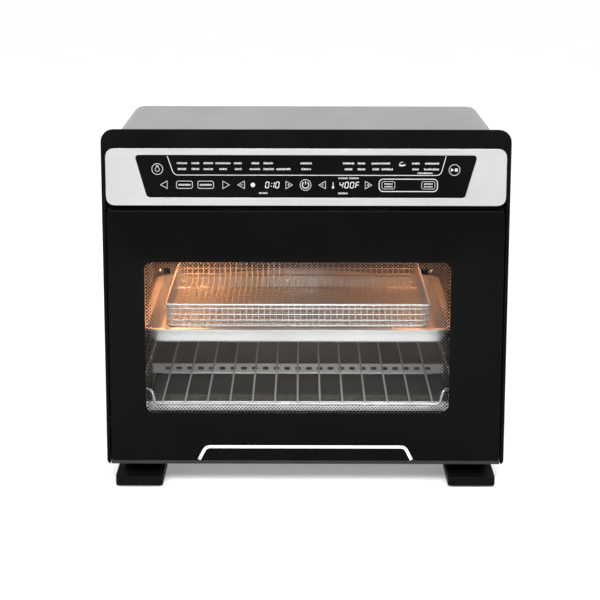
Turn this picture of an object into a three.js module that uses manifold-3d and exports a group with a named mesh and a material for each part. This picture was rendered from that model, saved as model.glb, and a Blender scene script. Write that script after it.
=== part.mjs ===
// Countertop air-fryer toaster oven, built as an assembly of separate pieces.
// Millimetres. +Z up, the front faces -Y, and the origin is on the counter under the middle.
// Depths are measured back from the plane of the front glass.

import * as THREE from 'three';
import { mergeVertices } from 'three/addons/utils/BufferGeometryUtils.js';
import Module from 'manifold-3d';

const wasm = await Module();
wasm.setup();

// ---- driving dimensions ----

const WIDTH = 445;
const HEIGHT = 403;
const BODY_DEPTH = 385;
const REAR_SPACER = 12;
const FOOT_REACH = 5.3;
const GAP = 0.3;
const SHEET = 0.8;

const FRONT_Y = -(BODY_DEPTH + REAR_SPACER - FOOT_REACH) / 2;
const HALF = WIDTH / 2;
const BASE_Z = 26;

const BEZEL_DEPTH = 30;
const BEZEL_RIM = 8;
const BEZEL_CORNER = 14;
const BEZEL_SIDE = 3.8;
const WRAP_HALF = HALF - 1.1;
const WRAP_TOP = HEIGHT - 20;
const WRAP_CORNER = 16;

const FASCIA = { half: 217.7, low: 319.8, high: 382.3, corner: 10.5, thick: 3 };
const LENS = { lowHalf: 172.4, highHalf: 185.6, low: 328.8, high: 374.9, corner: 4 };

const DOOR = { half: 217.7, low: 30.2, high: 314, glass: 4, back: 19, frameHalf: 213.8, skin: 1.5 };
const DOOR_LIP = { front: 0.3, chamfer: 1 };
const HINGE = { depth: 9, z: 35.5, pin: 2.5, eye: 4.6, rise: 34 };
const WINDOW = { centre: -9, halfWidth: 168.5, low: 84.8, high: 256.8 };
const GROOVE_DEPTH = 9;

const CAVITY = { centre: -9, half: 185, front: 24.5, back: 352, floor: 48.2, ceiling: 285 };
const RAIL = { reach: 9, height: 6, tops: [96.8, 132.5, 168.2], front: 34, back: 346 };

const RACK = { half: 179, front: 42, back: 345, z: 87, rise: 13, wires: 15, slat: 1.3, frame: 1.8, cross: 176 };
const PAN = { half: 180, wallHalf: 172, front: 45, back: 351, rim: 170, low: 153, wall: 1.2 };
const BASKET = { half: 151.5, front: 70, back: 330, rim: 194.4, low: 165, wall: 1.6 };
const TRAY = { half: 180, front: 32, back: 344, low: 48.5, high: 54, wall: 1 };

const ELEMENT = { radius: 3.5, upperZ: 268, lowerFrontZ: 73, lowerRearZ: 63 };
const ELEMENT_DEPTHS = { upperFront: 80, upperRear: 300, lowerFront: 75, lowerRear: 300 };
const GUARD_SLOT = { pitch: 13.7, length: 8, width: 3.8 };

const FAN = { depth: 190, shaft: 4, blade: 64, cooler: 44 };
const LAMP = { depth: 262, z: 220, dome: 20 };

const SENSOR = { x: 125, z: 240 };
const JACK = { depth: 46, z: 232 };
const GLAND = { x: 176, z: 70 };
const FRAME_HALF = 213.6;

const FOOT = { inner: 160, outer: 213, low: 2, step: 12.7, neckFront: 45, length: 80 };
const PAD = { half: 10.5, length: 40 };

// ---- materials ----

const finish = (color, roughness, metalness, more = {}) =>
  new THREE.MeshStandardMaterial({ color, roughness, metalness, ...more });

const blackPlastic = () => finish(0x0b0b0c, 0.35, 0.0);
const blackEnamel = () => finish(0x101011, 0.3, 0.1);
const brushedSteel = () => finish(0xbfc0be, 0.35, 1.0);
const brightSteel = () => finish(0xd6d6d4, 0.25, 1.0);
const zincSteel = () => finish(0x9fa3a6, 0.45, 1.0);
const cavityCoat = () => finish(0x57504a, 0.4, 0.6);
const clearGlass = () => finish(0x0a0a0b, 0.05, 0.0, { transparent: true, opacity: 0.35 });
const ceramic = () => finish(0xe6e0d2, 0.7, 0.0);
const elementSheath = () => finish(0x4b2a1c, 0.6, 0.7);
const rubber = () => finish(0x1a1a1a, 0.9, 0.0);
const circuitBoard = () => finish(0x1f5b36, 0.6, 0.0);

// ---- shape helpers ----

const oven = new THREE.Group();

function add(name, geometry, material) {
  const mesh = new THREE.Mesh(geometry, material);
  mesh.name = name;
  oven.add(mesh);
}

const depthY = (depth) => FRONT_Y + depth;

function box(x0, x1, d0, d1, z0, z1) {
  const geometry = new THREE.BoxGeometry(x1 - x0, d1 - d0, z1 - z0);
  return geometry.translate((x0 + x1) / 2, depthY((d0 + d1) / 2), (z0 + z1) / 2);
}

// A shape drawn in X and Z, running from one depth to another.
function facing(shape, d0, d1, curveSegments = 6) {
  const geometry = new THREE.ExtrudeGeometry(shape, { depth: d1 - d0, bevelEnabled: false, curveSegments });
  return geometry.rotateX(Math.PI / 2).translate(0, depthY(d1), 0);
}

// A shape drawn in X and depth, running from one height to another.
function lying(shape, z0, z1, curveSegments = 6) {
  const geometry = new THREE.ExtrudeGeometry(shape, { depth: z1 - z0, bevelEnabled: false, curveSegments });
  return geometry.translate(0, FRONT_Y, z0);
}

// A shape drawn in depth and Z, running along X.
function sideways(shape, x0, x1, curveSegments = 6) {
  const geometry = new THREE.ExtrudeGeometry(shape, { depth: x1 - x0, bevelEnabled: false, curveSegments });
  const turn = new THREE.Matrix4().makeBasis(
    new THREE.Vector3(0, 1, 0), new THREE.Vector3(0, 0, 1), new THREE.Vector3(1, 0, 0));
  return geometry.applyMatrix4(turn).translate(x0, FRONT_Y, 0);
}

// Traces a closed outline whose corners are rounded: each point is [u, v, radius].
function roundedOutline(points, path = new THREE.Shape()) {
  const count = points.length;
  points.forEach(([u, v, radius], index) => {
    const corner = new THREE.Vector2(u, v);
    const before = new THREE.Vector2(...points[(index + count - 1) % count].slice(0, 2));
    const after = new THREE.Vector2(...points[(index + 1) % count].slice(0, 2));
    const into = before.sub(corner).normalize();
    const out = after.sub(corner).normalize();
    const reach = radius ? radius / Math.tan(Math.acos(into.dot(out)) / 2) : 0;
    const start = corner.clone().addScaledVector(into, reach);
    const end = corner.clone().addScaledVector(out, reach);
    if (index === 0) path.moveTo(start.x, start.y);
    else path.lineTo(start.x, start.y);
    if (radius) path.quadraticCurveTo(corner.x, corner.y, end.x, end.y);
  });
  path.closePath();
  return path;
}

function rectangle(u0, u1, v0, v1, radius = 0, path = new THREE.Shape()) {
  return roundedOutline([[u0, v0, radius], [u1, v0, radius], [u1, v1, radius], [u0, v1, radius]], path);
}

const hole = (u0, u1, v0, v1, radius = 0) => rectangle(u0, u1, v0, v1, radius, new THREE.Path());

function roundHole(u, v, radius) {
  return new THREE.Path().absarc(u, v, radius, 0, 2 * Math.PI, true);
}

function disc(u, v, radius) {
  return new THREE.Shape().absarc(u, v, radius, 0, 2 * Math.PI, false);
}

// A slot with round ends, its length along u.
function slot(u, v, length, width) {
  const reach = length / 2 - width / 2;
  const path = new THREE.Path();
  path.absarc(u + reach, v, width / 2, -Math.PI / 2, Math.PI / 2, false);
  path.absarc(u - reach, v, width / 2, Math.PI / 2, 3 * Math.PI / 2, false);
  path.closePath();
  return path;
}

// The centres of a row of evenly spaced places between two ends.
function spread(low, high, count) {
  return Array.from({ length: count }, (_, index) => low + (high - low) * index / (count - 1));
}

// A round bar between two points given as x, depth, z.
function bar(from, to, radius, sides = 12) {
  const start = new THREE.Vector3(from[0], depthY(from[1]), from[2]);
  const end = new THREE.Vector3(to[0], depthY(to[1]), to[2]);
  const along = end.clone().sub(start);
  const geometry = new THREE.CylinderGeometry(radius, radius, along.length(), sides);
  const turn = new THREE.Quaternion().setFromUnitVectors(
    new THREE.Vector3(0, 1, 0), along.clone().normalize());
  geometry.applyQuaternion(turn);
  const middle = start.add(end).multiplyScalar(0.5);
  return geometry.translate(middle.x, middle.y, middle.z);
}

// A round wire that follows a smooth curve through points given as x, depth, z.
function wire(points, radius, steps, sides = 6) {
  const curve = new THREE.CatmullRomCurve3(
    points.map(([x, depth, z]) => new THREE.Vector3(x, depthY(depth), z)), false, 'centripetal');
  const section = new THREE.Shape();
  for (let side = 0; side < sides; side += 1) {
    const angle = 2 * Math.PI * side / sides;
    const place = [radius * Math.cos(angle), radius * Math.sin(angle)];
    if (side === 0) section.moveTo(...place);
    else section.lineTo(...place);
  }
  section.closePath();
  return new THREE.ExtrudeGeometry(section, { steps, extrudePath: curve, curveSegments: 1 });
}

// A turned piece: its profile is [radius, height] pairs, which may run either way round.
function turned(profile, x, depth, z, axis, sides = 16) {
  const points = profile.map(([radius, height]) => new THREE.Vector2(radius, height));
  if (THREE.ShapeUtils.area(points) < 0) points.reverse();
  const geometry = new THREE.LatheGeometry(points, sides);
  const turn = new THREE.Quaternion().setFromUnitVectors(new THREE.Vector3(0, 1, 0), axis);
  return geometry.applyQuaternion(turn).translate(x, depthY(depth), z);
}

const BACKWARD = new THREE.Vector3(0, 1, 0);
const LEFT = new THREE.Vector3(-1, 0, 0);

// ---- joining and cutting ----

function solid(geometry) {
  const plain = geometry.clone();
  plain.deleteAttribute('normal');
  plain.deleteAttribute('uv');
  const welded = mergeVertices(plain, 1e-4);
  const mesh = new wasm.Mesh({
    numProp: 3,
    vertProperties: new Float32Array(welded.attributes.position.array),
    triVerts: new Uint32Array(welded.index.array),
  });
  return new wasm.Manifold(mesh);
}

function surface(manifold) {
  const mesh = manifold.getMesh();
  const geometry = new THREE.BufferGeometry();
  geometry.setAttribute('position', new THREE.BufferAttribute(new Float32Array(mesh.vertProperties), 3));
  geometry.setIndex(new THREE.BufferAttribute(new Uint32Array(mesh.triVerts), 1));
  geometry.computeVertexNormals();
  return geometry;
}

function joined(...geometries) {
  return surface(geometries.map(solid).reduce((sum, next) => sum.add(next)));
}

function cut(body, ...tools) {
  return surface(tools.map(solid).reduce((rest, tool) => rest.subtract(tool), solid(body)));
}

// ---- lofted trays ----

// A rounded rectangle as a ring of [u, v] points, counterclockwise.
function cornerRing(u0, u1, v0, v1, highRadius, lowRadius, cornerSteps) {
  const corners = [
    [u1 - highRadius, v1 - highRadius, highRadius],
    [u0 + highRadius, v1 - highRadius, highRadius],
    [u0 + lowRadius, v0 + lowRadius, lowRadius],
    [u1 - lowRadius, v0 + lowRadius, lowRadius],
  ];
  return corners.flatMap(([u, v, radius], quarter) =>
    Array.from({ length: cornerSteps + 1 }, (_, step) => {
      const angle = (quarter + step / cornerSteps) * Math.PI / 2;
      return [u + radius * Math.cos(angle), v + radius * Math.sin(angle)];
    }));
}

function ring(x0, x1, d0, d1, z, radius) {
  return cornerRing(x0, x1, d0, d1, radius, radius, 3).map(([x, depth]) => [x, depthY(depth), z]);
}

// A closed skin through rings of equal count, capped by the first and the last.
function loft(rings) {
  const count = rings[0].length;
  const index = [];
  for (let row = 0; row < rings.length - 1; row += 1) {
    for (let step = 0; step < count; step += 1) {
      const next = (step + 1) % count;
      const a = row * count + step;
      const b = row * count + next;
      index.push(a, b, b + count, a, b + count, a + count);
    }
  }
  const last = (rings.length - 1) * count;
  for (let step = 1; step < count - 1; step += 1) {
    index.push(0, step + 1, step);
    index.push(last, last + step, last + step + 1);
  }
  const geometry = new THREE.BufferGeometry();
  geometry.setAttribute('position', new THREE.Float32BufferAttribute(rings.flat(2), 3));
  geometry.setIndex(index);
  geometry.computeVertexNormals();
  return geometry;
}

// An open tray: sloping walls, a floor, and a rim that reaches out past the walls.
function tray({ x0, x1, d0, d1, low, rim, wall, slope, flange, corner }) {
  const section = (grow, z, radius) => ring(x0 - grow, x1 + grow, d0 - grow, d1 + grow, z, radius + grow);
  return loft([
    section(-slope, low, corner),
    section(0, rim - wall, corner),
    section(flange, rim - wall, corner),
    section(flange, rim, corner),
    section(-wall, rim, corner),
    section(-slope - wall, low + wall, corner),
  ]);
}

// ---- casing ----

function wrapOutline(half, top, corner, low) {
  return [[-half, low, 0], [half, low, 0], [half, top, corner], [-half, top, corner]];
}

function addCasing() {
  const wrapLow = BASE_Z + 2;
  const wrapFront = BEZEL_DEPTH + GAP;
  const wrapBack = BODY_DEPTH - SHEET - GAP;
  const outer = roundedOutline(wrapOutline(WRAP_HALF, WRAP_TOP, WRAP_CORNER, wrapLow));
  const inside = roundedOutline(
    wrapOutline(WRAP_HALF - SHEET, WRAP_TOP - SHEET, WRAP_CORNER - SHEET, wrapLow - 5));
  const louvres = spread(250, 346, 9).map((depth) => {
    const upright = rectangle(depth - 2, depth + 2, 250, 300, 1.9);
    return sideways(upright, -HALF, HALF, 2);
  });
  add('outer_wrap',
    cut(facing(outer, wrapFront, wrapBack), facing(inside, wrapFront - 5, wrapBack + 5), ...louvres),
    brushedSteel());

  const rear = roundedOutline(wrapOutline(WRAP_HALF, WRAP_TOP, WRAP_CORNER, wrapLow));
  for (const z of [300, 314, 328, 342]) {
    for (const x of spread(-92, 92, 5)) rear.holes.push(slot(x, z, 34, 5));
  }
  rear.holes.push(roundHole(GLAND.x, GLAND.z, 8.7));
  add('rear_cover', facing(rear, BODY_DEPTH - SHEET, BODY_DEPTH, 4), blackEnamel());

  const panHalf = WRAP_HALF - SHEET - 0.8;
  const panFront = BEZEL_DEPTH + GAP;
  const panBack = BODY_DEPTH - 2;
  const panBody = box(-panHalf, panHalf, panFront, panBack, BASE_Z, BASE_Z + 12);
  const panInside = box(-panHalf + SHEET, panHalf - SHEET, panFront + SHEET, panBack - SHEET,
    BASE_Z + SHEET, BASE_Z + 20);
  const vents = spread(-120, 120, 7).map((x) =>
    lying(rectangle(x - 3, x + 3, 170, 230, 2.9), BASE_Z - 2, BASE_Z + 4, 2));
  add('base_pan', cut(panBody, panInside, ...vents), zincSteel());

  for (const [side, x] of [['left', -150], ['right', 150]]) {
    const profile = [[0, 0], [10, 0], [8, REAR_SPACER - GAP], [0, REAR_SPACER - GAP]];
    add(`rear_spacer_${side}`, turned(profile, x, BODY_DEPTH + GAP, 362, BACKWARD), blackPlastic());
  }

  const gland = [[4.3, -8], [7.8, -8], [7.8, GAP], [11, GAP], [9, 9], [4.3, 9], [4.3, -8]];
  add('cord_gland', turned(gland, GLAND.x, BODY_DEPTH, GLAND.z, BACKWARD), blackPlastic());
}

function addFeet() {
  const rows = [
    ['front', (depth) => depth - FOOT_REACH],
    ['rear', (depth) => BODY_DEPTH - 4 - depth],
  ];
  for (const [row, place] of rows) {
    for (const [side, sign] of [['left', -1], ['right', 1]]) {
      const xs = [sign * FOOT.inner, sign * FOOT.outer].sort((a, b) => a - b);
      const span = (a, b) => [place(a), place(b)].sort((c, d) => c - d);
      const blockSpan = span(0, FOOT.length);
      const neckSpan = span(FOOT.neckFront + FOOT_REACH, FOOT.length - 2);
      const block = lying(rectangle(...xs, ...blockSpan, 5), FOOT.low, FOOT.step, 3);
      const neck = lying(rectangle(xs[0] + 6, xs[1] - 6, ...neckSpan, 3), FOOT.step - 1, BASE_Z - GAP, 2);
      add(`foot_${row}_${side}`, joined(block, neck), blackPlastic());

      const middle = (xs[0] + xs[1]) / 2;
      const padSpan = span(7, 7 + PAD.length);
      const pad = rectangle(middle - PAD.half, middle + PAD.half, ...padSpan, 4);
      add(`foot_pad_${row}_${side}`, lying(pad, 0, FOOT.low - GAP, 3), rubber());
    }
  }
}

// ---- front ----

function addFront() {
  const outline = (half, top, radius, depth) =>
    cornerRing(-half, half, BASE_Z, top, radius, 4, 6).map(([x, z]) => [x, depthY(depth), z]);
  const body = loft([
    outline(WRAP_HALF + 1, WRAP_TOP + 1, WRAP_CORNER, BEZEL_DEPTH),
    outline(HALF - 0.6, HEIGHT - 2.5, BEZEL_CORNER, BEZEL_RIM),
    outline(HALF, HEIGHT, BEZEL_CORNER, 2),
    outline(HALF - 0.5, HEIGHT - 0.5, BEZEL_CORNER - 0.5, 0),
  ]);
  const doorway = box(-HALF + BEZEL_SIDE, HALF - BEZEL_SIDE, -5, BEZEL_DEPTH + 5, 0, DOOR.high + 0.6);
  const pocket = facing(
    rectangle(-FASCIA.half - GAP, FASCIA.half + GAP, FASCIA.low - GAP, FASCIA.high + GAP, FASCIA.corner),
    -5, BEZEL_DEPTH + 5);
  const groove = box(-FASCIA.half - GAP, FASCIA.half + GAP, -5, GROOVE_DEPTH, DOOR.high, FASCIA.low + 12);
  add('front_bezel', cut(body, doorway, pocket, groove), blackPlastic());

  const fascia = rectangle(-FASCIA.half, FASCIA.half, FASCIA.low, FASCIA.high, FASCIA.corner);
  fascia.holes.push(lensOutline(GAP, new THREE.Path()));
  add('control_fascia', facing(fascia, 0, FASCIA.thick, 5), brushedSteel());
  add('control_lens', facing(lensOutline(0, new THREE.Shape()), 0.2, FASCIA.thick, 4), blackEnamel());

  const board = box(-165, 165, 9, 10.6, 332, 372);
  const display = box(-45, 30, 4, 9.2, 340, 364);
  const connector = box(120, 150, 10.4, 18, 345, 357);
  add('control_board', joined(board, display, connector), circuitBoard());
}

function lensOutline(grow, path) {
  const low = LENS.low - grow;
  const high = LENS.high + grow;
  return roundedOutline([
    [-LENS.lowHalf - grow, low, LENS.corner], [LENS.lowHalf + grow, low, LENS.corner],
    [LENS.highHalf + grow, high, LENS.corner], [-LENS.highHalf - grow, high, LENS.corner]], path);
}

// ---- cooking cavity ----

const cavityLeft = CAVITY.centre - CAVITY.half;
const cavityRight = CAVITY.centre + CAVITY.half;

function addSideWall(name, wallX, inward, holes) {
  const xs = (near, far) => [wallX + inward * near, wallX + inward * far].sort((a, b) => a - b);
  const slab = box(...xs(-SHEET, 0), CAVITY.front, CAVITY.back, CAVITY.floor - SHEET, CAVITY.ceiling + SHEET);
  const rails = RAIL.tops.map((top) => {
    const profile = new THREE.Shape();
    profile.moveTo(wallX - inward * 0.5, top);
    profile.lineTo(wallX + inward * RAIL.reach, top);
    profile.lineTo(wallX + inward * RAIL.reach, top - 2);
    profile.lineTo(wallX - inward * 0.5, top - RAIL.height - 2);
    profile.closePath();
    return facing(profile, RAIL.front, RAIL.back);
  });
  const wall = joined(slab, ...rails);
  add(name, holes.length ? cut(wall, ...holes) : wall, cavityCoat());
}

function addCavity() {
  const elementHoles = (x) => Object.entries({
    upperFront: ELEMENT.upperZ, upperRear: ELEMENT.upperZ,
    lowerFront: ELEMENT.lowerFrontZ, lowerRear: ELEMENT.lowerRearZ,
  }).map(([place, z]) => bar([x - 4, ELEMENT_DEPTHS[place], z], [x + 4, ELEMENT_DEPTHS[place], z], 4.6));
  const lampHole = bar([cavityRight - 6, LAMP.depth, LAMP.z], [cavityRight + 4, LAMP.depth, LAMP.z], 16, 20);
  const jackHole = bar([cavityRight - 2, JACK.depth, JACK.z], [cavityRight + 4, JACK.depth, JACK.z], 5.4);
  addSideWall('cavity_left_wall', cavityLeft, 1, elementHoles(cavityLeft));
  addSideWall('cavity_right_wall', cavityRight, -1, [...elementHoles(cavityRight), lampHole, jackHole]);

  const x0 = cavityLeft + GAP;
  const x1 = cavityRight - GAP;
  add('cavity_floor', box(x0, x1, CAVITY.front, CAVITY.back, CAVITY.floor - SHEET, CAVITY.floor), cavityCoat());

  const ceiling = rectangle(x0, x1, CAVITY.front, CAVITY.back);
  ceiling.holes.push(roundHole(CAVITY.centre, FAN.depth, 9));
  add('cavity_ceiling', lying(ceiling, CAVITY.ceiling, CAVITY.ceiling + SHEET, 4), cavityCoat());

  const back = rectangle(cavityLeft, cavityRight, CAVITY.floor - SHEET, CAVITY.ceiling + SHEET);
  back.holes.push(roundHole(SENSOR.x, SENSOR.z, 3.6));
  add('cavity_back_wall', facing(back, CAVITY.back + GAP, CAVITY.back + GAP + SHEET, 4), cavityCoat());

  const face = rectangle(-FRAME_HALF, FRAME_HALF, BASE_Z + 14, DOOR.high - 4);
  face.holes.push(hole(cavityLeft, cavityRight, CAVITY.floor, CAVITY.ceiling - 8, 6));
  const frontPlate = facing(face, CAVITY.front - GAP - SHEET, CAVITY.front - GAP, 3);
  add('cavity_front_frame', frontPlate, zincSteel());

  const sealBack = CAVITY.front - GAP - SHEET - GAP;
  const seal = rectangle(cavityLeft - 6, cavityRight + 6, CAVITY.floor - 6.5, CAVITY.ceiling, 8);
  seal.holes.push(hole(cavityLeft - 1, cavityRight + 1, CAVITY.floor - 2, CAVITY.ceiling - 5, 4));
  add('door_gasket', facing(seal, DOOR.back + 0.6, sealBack, 3), rubber());
}

// ---- heating ----

function addHeating() {
  const rods = {
    upper_front_element: [ELEMENT_DEPTHS.upperFront, ELEMENT.upperZ],
    upper_rear_element: [ELEMENT_DEPTHS.upperRear, ELEMENT.upperZ],
    lower_front_element: [ELEMENT_DEPTHS.lowerFront, ELEMENT.lowerFrontZ],
    lower_rear_element: [ELEMENT_DEPTHS.lowerRear, ELEMENT.lowerRearZ],
  };
  const reach = 8;
  for (const [name, [depth, z]] of Object.entries(rods)) {
    const rod = bar([cavityLeft - reach, depth, z], [cavityRight + reach, depth, z], ELEMENT.radius);
    add(name, rod, elementSheath());
  }

  const insulator = (wallX, outward, lowZ, highZ) => {
    const near = wallX + outward * (SHEET + GAP);
    const far = wallX + outward * 12;
    const xs = [near, far].sort((a, b) => a - b);
    const front = ELEMENT_DEPTHS.upperFront - 20;
    const back = ELEMENT_DEPTHS.upperRear + 20;
    return box(...xs, front, back, lowZ, highZ);
  };
  const socket = (wallX, depth, z) => bar([wallX - 30, depth, z], [wallX + 30, depth, z], ELEMENT.radius + GAP);
  for (const [side, wallX, outward] of [['left', cavityLeft, -1], ['right', cavityRight, 1]]) {
    add(`upper_insulator_${side}`,
      cut(insulator(wallX, outward, ELEMENT.upperZ - 9, ELEMENT.upperZ + 9),
        socket(wallX, ELEMENT_DEPTHS.upperFront, ELEMENT.upperZ),
        socket(wallX, ELEMENT_DEPTHS.upperRear, ELEMENT.upperZ)),
      ceramic());
    add(`lower_insulator_${side}`,
      cut(insulator(wallX, outward, ELEMENT.lowerRearZ - 9, ELEMENT.lowerFrontZ + 9),
        socket(wallX, ELEMENT_DEPTHS.lowerFront, ELEMENT.lowerFrontZ),
        socket(wallX, ELEMENT_DEPTHS.lowerRear, ELEMENT.lowerRearZ)),
      ceramic());
  }

  const x0 = cavityLeft + 0.4;
  const x1 = cavityRight - 0.4;
  const places = spread(-12, 12, 25).map((step) => CAVITY.centre + step * GUARD_SLOT.pitch);

  const channel = new THREE.Shape();
  const front = { d0: 60, d1: 92, low: 71, back: 75, top: 82 };
  channel.moveTo(front.d0, front.low);
  channel.lineTo(front.d0 + 1, front.low);
  channel.lineTo(front.d0 + 1, front.top - 1);
  channel.lineTo(front.d1 - 1, front.top - 1);
  channel.lineTo(front.d1 - 1, front.back);
  channel.lineTo(front.d1, front.back);
  channel.lineTo(front.d1, front.top);
  channel.lineTo(front.d0, front.top);
  channel.closePath();
  const topSlots = [67, 84].flatMap((depth) =>
    places.map((x) => lying(slotShape(x, depth), front.top - 3, front.top + 3, 2)));
  add('front_element_guard', cut(sideways(channel, x0, x1), ...topSlots), brightSteel());

  const strip = rectangle(x0, x1, 55, 67.5);
  for (const x of places) strip.holes.push(slot(x, 61.4, GUARD_SLOT.length, GUARD_SLOT.width));
  const flange = box(x0, x1, 288, 294, 66.5, 67.5);
  add('rear_element_guard', joined(facing(strip, 288, 289, 2), flange), brightSteel());
}

function slotShape(u, v) {
  const path = slot(u, v, GUARD_SLOT.length, GUARD_SLOT.width);
  return new THREE.Shape(path.getPoints(2));
}

// ---- convection fan ----

function bladeWheel(radius, z0, z1, blades, hub) {
  const x = CAVITY.centre;
  const plate = disc(x, FAN.depth, radius);
  plate.holes.push(roundHole(x, FAN.depth, FAN.shaft + GAP));
  const collar = disc(x, FAN.depth, hub);
  collar.holes.push(roundHole(x, FAN.depth, FAN.shaft + GAP));
  const vanes = Array.from({ length: blades }, (_, index) => {
    const vane = new THREE.BoxGeometry(radius - hub - 1, 1.2, z1 - z0);
    vane.translate((radius + hub) / 2, 0, (z0 + z1) / 2);
    vane.rotateZ(2 * Math.PI * index / blades);
    return vane.translate(x, depthY(FAN.depth), 0);
  });
  return joined(lying(plate, z1 - 1, z1, 8), lying(collar, z0, z1, 8), ...vanes);
}

function addFan() {
  const x = CAVITY.centre;
  const axisBar = (z0, z1, radius, sides) => bar([x, FAN.depth, z0], [x, FAN.depth, z1], radius, sides);
  add('fan_shaft', axisBar(268.5, 350, FAN.shaft, 16), brightSteel());
  add('convection_blade', bladeWheel(FAN.blade, 270.5, 281, 10, 9), zincSteel());
  add('cooling_blade', bladeWheel(FAN.cooler, 292, 306, 8, 8), zincSteel());

  const motor = joined(axisBar(316.3, 346, 30, 20), axisBar(346, 352, 14, 12));
  add('fan_motor', cut(motor, axisBar(310, 360, FAN.shaft + GAP, 16)), zincSteel());

  const bridge = new THREE.Shape();
  const half = 54;
  const deck = 314;
  const low = CAVITY.ceiling + SHEET + GAP;
  bridge.moveTo(x - half - 12, low);
  bridge.lineTo(x - half, low);
  bridge.lineTo(x - half, deck);
  bridge.lineTo(x + half, deck);
  bridge.lineTo(x + half, low);
  bridge.lineTo(x + half + 12, low);
  bridge.lineTo(x + half + 12, low + 2);
  bridge.lineTo(x + half + 2, low + 2);
  bridge.lineTo(x + half + 2, deck + 2);
  bridge.lineTo(x - half - 2, deck + 2);
  bridge.lineTo(x - half - 2, low + 2);
  bridge.lineTo(x - half - 12, low + 2);
  bridge.closePath();
  add('motor_bracket',
    cut(facing(bridge, FAN.depth - 22, FAN.depth + 22), axisBar(deck - 5, deck + 5, 9, 12)), zincSteel());

  const grille = disc(x, FAN.depth, FAN.blade + 16);
  for (const [radius, count] of [[22, 8], [38, 14], [54, 20]]) {
    for (let index = 0; index < count; index += 1) {
      const angle = 2 * Math.PI * index / count;
      grille.holes.push(roundHole(x + radius * Math.cos(angle), FAN.depth + radius * Math.sin(angle), 4.5));
    }
  }
  const skirt = disc(x, FAN.depth, FAN.blade + 16);
  skirt.holes.push(roundHole(x, FAN.depth, FAN.blade + 14.8));
  add('fan_cover',
    joined(lying(grille, 265, 266, 2), lying(skirt, 265, CAVITY.ceiling - GAP, 8)), brightSteel());
}

// ---- lamp, sensor, probe socket and power board ----

function addFittings() {
  const wall = cavityRight;
  const dome = [[0, 16], [8, 15], [14.5, 11.5], [18.5, 6], [LAMP.dome, GAP], [LAMP.dome - 1.6, GAP],
    [17, 5], [13.3, 10.2], [7.4, 13.5], [0, 14.4]];
  add('lamp_cover', turned(dome, wall, LAMP.depth, LAMP.z, LEFT, 18), clearGlass());
  const bulb = [[0, 9], [5, 8], [8, 4], [8.5, 0], [7, -5], [5, -9], [5, -14], [0, -14]];
  add('lamp_bulb', turned(bulb, wall, LAMP.depth, LAMP.z, LEFT, 14), clearGlass());
  const holder = [[0, -24], [12, -24], [12, -8], [15.6, -8], [15.6, -5.6], [9, -5.6], [9, -10],
    [5.4, -10], [5.4, -14.4], [0, -14.4]];
  add('lamp_holder', turned(holder, wall, LAMP.depth, LAMP.z, LEFT, 18), ceramic());

  const probe = bar([SENSOR.x, CAVITY.back - 50, SENSOR.z], [SENSOR.x, CAVITY.back + 14, SENSOR.z], 3);
  const nut = bar([SENSOR.x, CAVITY.back + 2, SENSOR.z], [SENSOR.x, CAVITY.back + 7, SENSOR.z], 7, 6);
  add('temperature_sensor', joined(probe, nut), brightSteel());

  const jack = [[0, -14], [5, -14], [5, GAP], [8, GAP], [8, 3], [1.9, 3], [1.9, -8], [0, -8]];
  add('probe_jack', turned(jack, wall, JACK.depth, JACK.z, LEFT), brightSteel());

  const board = box(206, 207.6, 90, 230, 110, 260);
  const parts = [
    box(192, 206.4, 100, 130, 205, 245),
    box(190, 206.4, 150, 190, 195, 240),
    box(196, 206.4, 105, 125, 130, 150),
    box(196, 206.4, 135, 155, 130, 150),
    box(196, 206.4, 165, 185, 130, 150),
  ];
  add('power_board', joined(board, ...parts), circuitBoard());
}

// ---- door ----

// The frame's section: a channel behind the glass, with a lip that comes forward under it.
function doorSection(top) {
  const seat = DOOR.glass + GAP;
  const seam = DOOR.low - GAP;
  const section = new THREE.Shape();
  section.moveTo(seat, top);
  section.lineTo(seat, seam);
  section.lineTo(DOOR_LIP.front, seam);
  section.lineTo(DOOR_LIP.front, BASE_Z + DOOR_LIP.chamfer);
  section.lineTo(DOOR_LIP.front + DOOR_LIP.chamfer, BASE_Z);
  section.lineTo(HINGE.depth + 3, BASE_Z);
  section.lineTo(DOOR.back, HINGE.z);
  section.lineTo(DOOR.back, top - 3);
  section.lineTo(DOOR.back - 3, top);
  section.closePath();
  return section;
}

// A rounded block as large as the window grown by a margin, from one depth to another.
function windowBlock(margin, d0, d1) {
  const half = WINDOW.halfWidth + margin;
  return facing(rectangle(WINDOW.centre - half, WINDOW.centre + half,
    WINDOW.low - margin, WINDOW.high + margin, 6), d0, d1, 3);
}

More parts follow.
